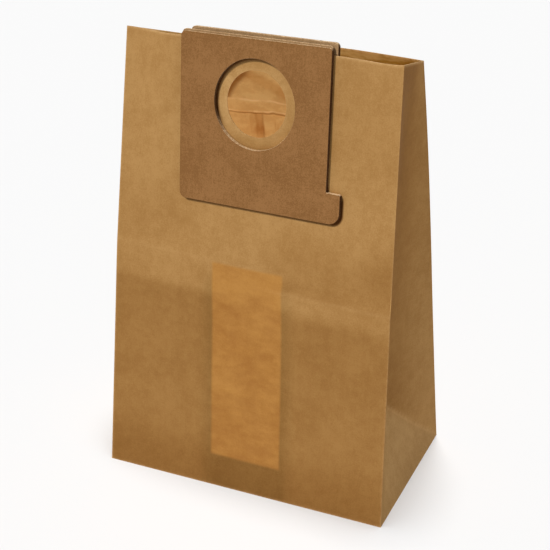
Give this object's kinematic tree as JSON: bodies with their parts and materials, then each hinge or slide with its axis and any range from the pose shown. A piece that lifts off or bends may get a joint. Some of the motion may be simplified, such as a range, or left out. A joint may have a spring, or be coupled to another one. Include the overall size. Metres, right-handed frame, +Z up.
{
  "type": "vacuum dust bag",
  "caption": "Open kraft paper dust bag with a block bottom, standing, with square card collar plates glued inside and outside its front panel around a round inlet hole.",
  "frame": {"origin": "centre of the flat base, on the surface that the bag stands on", "axes": "+Z up, -Y out of the front panel that carries the collar plates, +X to the right seen from the front"},
  "size_m": [0.2, 0.1186, 0.3067],
  "materials": {
    "kraft_paper": "matte brown kraft paper with fibre mottling",
    "collar_card": "matte brown board with pale cut edges"
  },
  "bodies": {
    "root": {"paper_bag": "kraft_paper", "front_collar_plate": "collar_card", "inner_collar_plate": "collar_card"}
  },
  "joints": []
}
